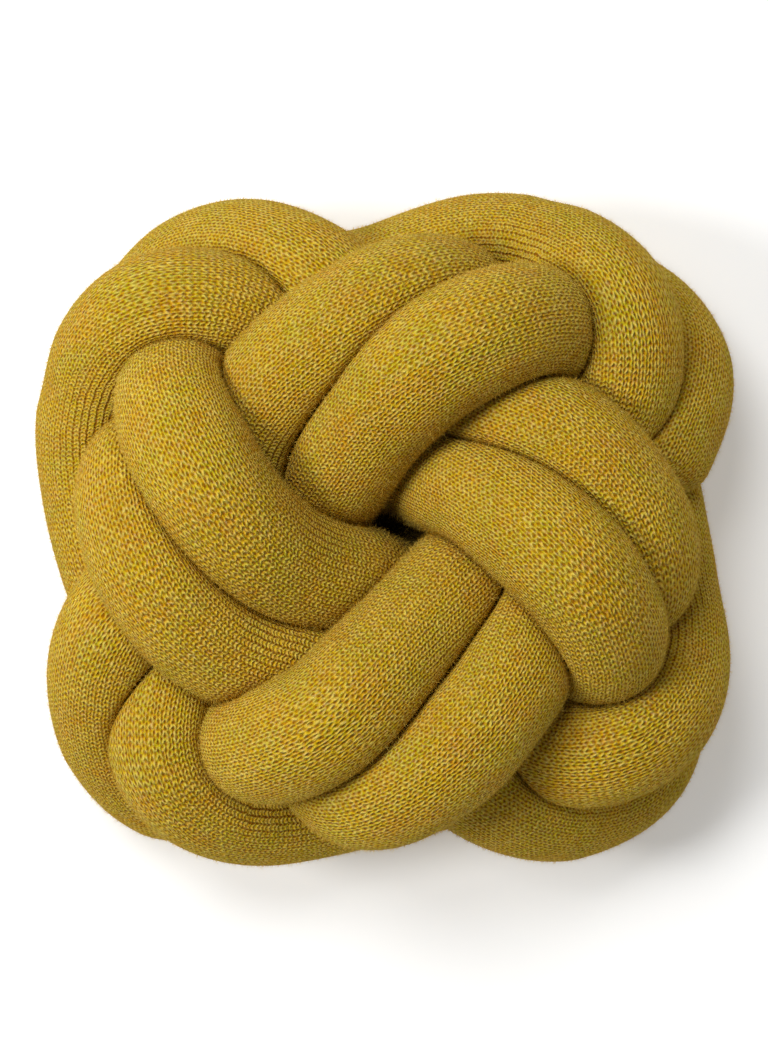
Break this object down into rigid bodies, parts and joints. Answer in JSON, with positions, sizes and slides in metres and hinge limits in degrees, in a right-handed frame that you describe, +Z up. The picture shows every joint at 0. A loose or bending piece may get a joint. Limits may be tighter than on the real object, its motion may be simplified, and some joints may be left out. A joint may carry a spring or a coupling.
{
  "type": "knot cushion",
  "caption": "Knot cushion: one long stuffed tube of knitted wool, led twice round a Turk's head knot and drawn up into a firm, squarish pad.",
  "frame": {"origin": "middle of the cushion's outline, on the floor it lies on", "axes": "+Z up out of the knot's face, +X to the right and +Y to the top of the pictured face"},
  "size_m": [0.2979, 0.2886, 0.1554],
  "materials": {
    "knit": "matte mustard wool knit, heathered, with a light fuzz"
  },
  "bodies": {
    "root": {"knot_tube": "knit"}
  },
  "joints": []
}
